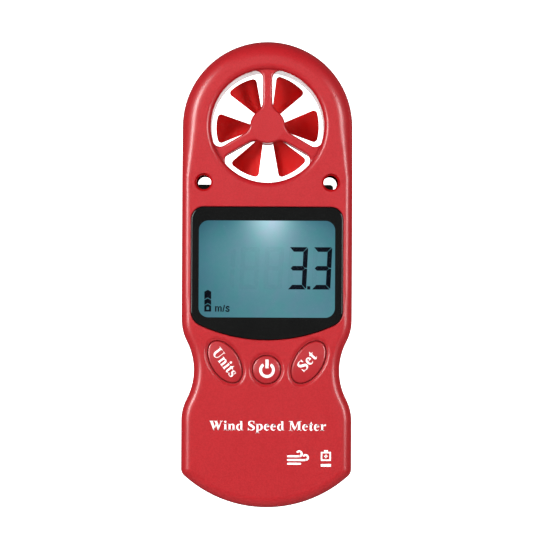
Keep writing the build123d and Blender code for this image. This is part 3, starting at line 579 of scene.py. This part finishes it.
air = [
    pill(7.0, 10.6, 16.75, 0.62), band(10.6, 17.55, (1.11, 1.11), (0.49, 0.49), -90, 150, 24),
    pill(7.0, 12.6, 15.55, 0.62), band(12.6, 16.35, (1.11, 1.11), (0.49, 0.49), -90, 150, 24),
    pill(7.0, 10.9, 14.35, 0.62), 
]
poly_mesh("print_air_symbol", air, lambda u, w: (u, w), face, 0.03, PRINT, "case")
cell = [
    ([(17.55, 15.3), (20.75, 15.3), (20.75, 18.2), (17.55, 18.2)], [[(18.0, 15.75), (20.3, 15.75), (20.3, 17.75), (18.0, 17.75)]]),
    box2(18.55, 18.2, 19.75, 18.75),
    box2(18.6, 16.55, 19.7, 16.95), box2(18.95, 16.2, 19.35, 17.3),
    box2(17.5, 13.45, 20.8, 14.3),
]
poly_mesh("print_cell_symbol", cell, lambda u, w: (u, w), face, 0.03, PRINT, "case")

# ------------------------------------------------------------------- display
# outline of the lens in millimetres, moved inwards by d
L_W, L_TOP, L_TR, L_BOT, L_BR, L_CR = 24.38, 96.65, 4.0, 53.93, 51.5, 5.0


def lens_line(d, n=14):
    w, rt, rc = L_W - d, L_TR - d, L_CR - d
    cx, ct = L_W - L_TR, L_TOP - L_TR
    cz0 = L_BOT + L_BR
    px = L_W - L_CR
    pz = cz0 - math.sqrt((L_BR - L_CR) ** 2 - px ** 2)
    a_end = math.degrees(math.atan2(pz - cz0, px))
    pts = arc(cx, ct, rt, rt, 90, 0, n)
    pts += arc(px, pz, rc, rc, 0, a_end, n)
    pts += arc(0, cz0, L_BR - d, L_BR - d, a_end, -180 - a_end, 60)[1:-1]
    pts += arc(-px, pz, rc, rc, -180 - a_end, -180, n)
    pts += arc(-cx, ct, rt, rt, 180, 90, n)
    return pts


def window_line(x0, x1, z0, z1, r, n=10):
    return (
        arc(x1 - r, z1 - r, r, r, 90, 0, n) + arc(x1 - r, z0 + r, r, r, 0, -90, n)
        + arc(x0 + r, z0 + r, r, r, -90, -180, n) + arc(x0 + r, z1 - r, r, r, 180, 90, n)
    )


lens_lo, lens_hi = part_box("display_lens")
LY0, LY1 = lens_lo.y * 1000.0, lens_hi.y * 1000.0
win = window_line(-21.9, 21.85, 61.15, 92.25, 3.1)


def prism_ring(name, rings, inner, y_rings, y_back, mat):
    """Frame with a stepped (rounded) outer rim. rings and y_rings run from the back rim to the front face."""
    bm = bmesh.new()
    rows = [[bm.verts.new(P(x, y, z)) for x, z in ring] for ring, y in zip(rings, y_rings)]
    n = len(rows[0])
    for a, b in zip(rows[:-1], rows[1:]):
        for i in range(n):
            bm.faces.new([a[i], a[(i + 1) % n], b[(i + 1) % n], b[i]])
    inn_f = [bm.verts.new(P(x, y_rings[-1], z)) for x, z in inner]
    inn_b = [bm.verts.new(P(x, y_back, z)) for x, z in inner]
    m = len(inner)
    for i in range(m):
        bm.faces.new([inn_f[i], inn_f[(i + 1) % m], inn_b[(i + 1) % m], inn_b[i]])

    def cap(outer_v, inner_v):
        es = []
        for loop in (outer_v, inner_v):
            for i in range(len(loop)):
                a, b = loop[i], loop[(i + 1) % len(loop)]
                e = bm.edges.get((a, b)) or bm.edges.new((a, b))
                es.append(e)
        bmesh.ops.triangle_fill(bm, use_beauty=True, use_dissolve=False, edges=es)

    cap(rows[-1], inn_f)
    cap(rows[0], inn_b)
    bmesh.ops.recalc_face_normals(bm, faces=bm.faces)
    me = bpy.data.meshes.new(name)
    bm.to_mesh(me)
    bm.free()
    ob = bpy.data.objects.new(name, me)
    bpy.context.scene.collection.objects.link(ob)
    me.materials.append(mat)
    return ob


steps = [(0.0, LY1), (0.0, LY0 + 0.38), (0.05, LY0 + 0.22), (0.16, LY0 + 0.09), (0.34, LY0 + 0.02), (0.55, LY0)]
border = prism_ring("lens_border", [lens_line(d) for d, y in steps], win, [y for d, y in steps], LY1, INK_BLACK)
for p in border.data.polygons:
    p.use_smooth = abs(p.normal.y) < 0.999
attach(border, "case")
pane = poly_mesh("lens_window", [(win, [])], lambda u, w: (u, w), LY0 + 0.06, 0.03, CLEAR, "case")
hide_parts("display_lens")

# liquid crystal segments on the panel's front
lcd_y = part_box("lcd_panel")[0].y * 1000.0
SL = math.tan(math.radians(2.6))
DH, DW, T = 13.60, 6.05, 1.48
GAP = 0.09


def digit(x0, z0, on):
    """Seven slanted segments, as (outer, holes) contours in x, z millimetres."""
    h2 = DH / 2
    segs = {
        "a": [(0.10 + GAP, DH), (DW - 0.10 - GAP, DH), (DW - T - GAP * 0.3, DH - T), (T + GAP * 0.3, DH - T)],
        "d": [(0.10 + GAP, 0), (DW - 0.10 - GAP, 0), (DW - T - GAP * 0.3, T), (T + GAP * 0.3, T)],
        "g": [(T * 0.42 + GAP, h2), (T * 0.9 + GAP, h2 + T / 2), (DW - T * 0.9 - GAP, h2 + T / 2), (DW - T * 0.42 - GAP, h2), (DW - T * 0.9 - GAP, h2 - T / 2), (T * 0.9 + GAP, h2 - T / 2)],
        "b": [(DW, DH - 0.25 - GAP), (DW, h2 + GAP * 1.6), (DW - T * 0.45, h2 + GAP), (DW - T, h2 + T / 2 + GAP * 0.8), (DW - T, DH - T - GAP), (DW - 0.22, DH - 0.22 - GAP)],
        "c": [(DW, 0.25 + GAP), (DW, h2 - GAP * 1.6), (DW - T * 0.45, h2 - GAP), (DW - T, h2 - T / 2 - GAP * 0.8), (DW - T, T + GAP), (DW - 0.22, 0.22 + GAP)],
        "f": [(0, DH - 0.25 - GAP), (0, h2 + GAP * 1.6), (T * 0.45, h2 + GAP), (T, h2 + T / 2 + GAP * 0.8), (T, DH - T - GAP), (0.22, DH - 0.22 - GAP)],
        "e": [(0, 0.25 + GAP), (0, h2 - GAP * 1.6), (T * 0.45, h2 - GAP), (T, h2 - T / 2 - GAP * 0.8), (T, T + GAP), (0.22, 0.22 + GAP)],
    }
    return [([(x0 + u + w * SL, z0 + w) for u, w in segs[s]], []) for s in on]


ident = lambda u, w: (u, w)
on = digit(6.58, 70.2, "abcdg") + digit(14.34, 70.2, "abcdg") + [box2(12.95, 70.2, 14.0, 71.25)]
poly_mesh("lcd_digits", on, ident, lcd_y, 0.02, SEG, "case")
off = digit(6.58, 70.2, "ef") + digit(14.34, 70.2, "ef") + digit(-1.18, 70.2, "abcdefg") + digit(-8.94, 70.2, "abcdefg") + digit(-16.7, 70.2, "bc")
poly_mesh("lcd_segments_off", off, ident, lcd_y, 0.012, GHOST, "case")


def level_block(x, z, h, hole):
    w, roof = 2.2, 0.62
    o = [(x, z), (x + w / 2, z + (0 if hole else roof)), (x + w, z), (x + w, z + h - 0), (x + w / 2, z + h + roof), (x, z + h)]
    if hole:
        o = [(x, z), (x + w, z), (x + w, z + h), (x + w / 2, z + h + roof), (x, z + h)]
        i = [(x + 0.68, z + 0.58), (x + w - 0.68, z + 0.58), (x + w - 0.68, z + h - 0.35), (x + w / 2, z + h + roof - 0.85), (x + 0.68, z + h - 0.35)]
        return (o, [i])
    return (o, [])


levels = [level_block(-20.1, 62.95, 1.85, True), level_block(-20.1, 65.05, 1.55, False), level_block(-20.1, 66.85, 2.5, False)]
unit = []
mx, mz, mh, mw = -16.65, 62.95, 1.75, 0.44
unit += [box2(mx, mz, mx + mw, mz + mh), box2(mx + 0.86, mz, mx + 0.86 + mw, mz + mh - 0.3), box2(mx + 1.72, mz, mx + 1.72 + mw, mz + mh - 0.3)]
unit += [band(mx + 0.79, mz + mh - 0.46, (0.43, 0.46), (0.10, 0.18), 0, 170, 12), band(mx + 1.65, mz + mh - 0.46, (0.43, 0.46), (0.10, 0.18), 0, 170, 12)]
unit += [([(mx + 2.33, mz - 0.05), (mx + 2.71, mz - 0.05), (mx + 3.23, mz + 2.15), (mx + 2.85, mz + 2.15)], [])]
unit += [stroke2([(mx + 4.55, mz + 1.30), (mx + 4.28, mz + 1.62), (mx + 3.92, mz + 1.62), (mx + 3.62, mz + 1.30), (mx + 3.98, mz + 0.94), (mx + 4.46, mz + 0.62), (mx + 4.40, mz + 0.22), (mx + 4.02, mz + 0.12), (mx + 3.62, mz + 0.22), (mx + 3.45, mz + 0.52)],
                 [0.42] * 10)]
poly_mesh("lcd_level_and_unit", levels + unit, ident, lcd_y, 0.02, SEG, "case")

# ------------------------------------------------------------------ set-up
def area(name, loc, target, size, power, colour=(1, 1, 1)):
    l = bpy.data.lights.new(name, "AREA")
    l.shape = "RECTANGLE"
    l.size, l.size_y = size
    l.energy = power
    l.color = colour
    ob = bpy.data.objects.new(name, l)
    bpy.context.scene.collection.objects.link(ob)
    ob.location = loc
    d = Vector(target) - Vector(loc)
    ob.rotation_euler = d.to_track_quat("-Z", "Y").to_euler()
    ob.visible_camera = False
    return ob


def polar(az, el, dist, centre=(0.0, -0.01, 0.03)):
    """Point seen from the object at azimuth az (0 is the camera side, + to the right) and elevation el."""
    a, e = math.radians(az), math.radians(el)
    return (
        centre[0] + dist * math.cos(e) * math.sin(a),
        centre[1] - dist * math.cos(e) * math.cos(a),
        centre[2] + dist * math.sin(e),
    )


MID = (0.0, -0.01, 0.03)


def strip(name, az, dist, zc, width, height, power):
    """Tall soft strip standing upright beside the camera, turned to the meter."""
    a = math.radians(az)
    x, y = dist * math.sin(a), -dist * math.cos(a) - 0.01
    return area(name, (x, y, zc), (0.0, -0.01, zc), (width, height), power)


# power per square metre of panel sets the brightness of its mirror image in the case edge
strip("strip_left_high", -46, 0.75, 0.28, 0.22, 0.42, 62.0 * 0.22 * 0.42)
strip("strip_left_low", -46, 0.75, 0.01, 0.22, 0.12, 42.0 * 0.22 * 0.12)
strip("strip_right_high", 46, 0.75, 0.205, 0.22, 0.27, 44.0 * 0.22 * 0.27)
strip("strip_right_low", 46, 0.75, 0.01, 0.22, 0.12, 34.0 * 0.22 * 0.12)
for nm, az, el, dist, size, power in (
    ("fill_front", 0, 12, 1.1, (0.5, 0.5), 4.0),
    ("fill_back_left", -150, 25, 1.0, (0.5, 0.5), 6.0),
    ("fill_back_right", 130, 15, 1.0, (0.5, 0.5), 6.0),
):
    area(nm, polar(az, el, dist), MID, size, power).visible_glossy = False

world = bpy.data.worlds.new("studio")
bpy.context.scene.world = world
world.use_nodes = True
wn = world.node_tree
for n in list(wn.nodes):
    wn.nodes.remove(n)
wo = wn.nodes.new("ShaderNodeOutputWorld")
mix = wn.nodes.new("ShaderNodeMixShader")
bg1 = wn.nodes.new("ShaderNodeBackground")
bg2 = wn.nodes.new("ShaderNodeBackground")
lp = wn.nodes.new("ShaderNodeLightPath")
bg1.inputs["Color"].default_value = (1, 1, 1, 1)
bg1.inputs["Strength"].default_value = 0.12
bg2.inputs["Color"].default_value = (1, 1, 1, 1)
bg2.inputs["Strength"].default_value = 1.0
wn.links.new(lp.outputs["Is Camera Ray"], mix.inputs[0])
wn.links.new(bg1.outputs[0], mix.inputs[1])
wn.links.new(bg2.outputs[0], mix.inputs[2])
wn.links.new(mix.outputs[0], wo.inputs[0])

# pale floor well below the meter, fading to the white of the studio at its rim
FLOOR = bpy.data.materials.new("studio_floor")
FLOOR.use_nodes = True
nt = FLOOR.node_tree
for n in list(nt.nodes):
    nt.nodes.remove(n)
out = nt.nodes.new("ShaderNodeOutputMaterial")
dif = nt.nodes.new("ShaderNodeBsdfDiffuse")
emi = nt.nodes.new("ShaderNodeEmission")
mixf = nt.nodes.new("ShaderNodeMixShader")
lp2 = nt.nodes.new("ShaderNodeLightPath")
co = nt.nodes.new("ShaderNodeTexCoord").outputs["Object"]
ln = nt.nodes.new("ShaderNodeVectorMath")
ln.operation = "LENGTH"
nt.links.new(co, ln.inputs[0])
n = noise(nt, 3.0, 3.0, 0.5, co)
c = ramp(nt, n.outputs["Fac"], [(0.3, (0.88, 0.88, 0.88)), (0.7, (0.92, 0.92, 0.92))])
nt.links.new(c.outputs[0], dif.inputs["Color"])
fade = map_range(nt, ln.outputs["Value"], 0.25, 1.0, 0.55, 1.0)
nt.links.new(math_node(nt, "MULTIPLY", fade, lp2.outputs["Is Camera Ray"]), mixf.inputs[0])
nt.links.new(dif.outputs[0], mixf.inputs[1])
nt.links.new(emi.outputs[0], mixf.inputs[2])
nt.links.new(mixf.outputs[0], out.inputs[0])
me = bpy.data.meshes.new("studio_floor")
bm = bmesh.new()
bmesh.ops.create_circle(bm, cap_ends=True, radius=1.2, segments=96)
bm.to_mesh(me)
bm.free()
floor = bpy.data.objects.new("studio_floor", me)
bpy.context.scene.collection.objects.link(floor)
floor.location = (0, 0, Z0 * MM - 0.40)
me.materials.append(FLOOR)
floor.visible_glossy = False

# white card behind the duct, so its wall mirrors it
CARD = bpy.data.materials.new("white_card")
CARD.use_nodes = True
nt = CARD.node_tree
for n in list(nt.nodes):
    nt.nodes.remove(n)
out = nt.nodes.new("ShaderNodeOutputMaterial")
emi = nt.nodes.new("ShaderNodeEmission")
emi.inputs["Strength"].default_value = 2.2
nt.links.new(emi.outputs[0], out.inputs[0])
me = bpy.data.meshes.new("white_card")
bm = bmesh.new()
bmesh.ops.create_grid(bm, x_segments=1, y_segments=1, size=0.3)
bm.to_mesh(me)
bm.free()
card = bpy.data.objects.new("white_card", me)
bpy.context.scene.collection.objects.link(card)
card.rotation_euler = (math.radians(90), 0, 0)
card.location = (0, 1.5, 0.03)
me.materials.append(CARD)

cam_data = bpy.data.cameras.new("camera")
cam = bpy.data.objects.new("camera", cam_data)
bpy.context.scene.collection.objects.link(cam)
cam_data.lens = 174.0
cam_data.sensor_width = 36.0
DIST = 0.8297
cam.location = (-0.00015, -0.018 - DIST, (77.53 + Z0) * MM)
cam.rotation_euler = (math.radians(90), math.radians(-0.25), 0)
cam_data.clip_start, cam_data.clip_end = 0.02, 60
bpy.context.scene.camera = cam
bpy.context.scene.view_settings.view_transform = "Standard"
bpy.context.scene.view_settings.look = "None"
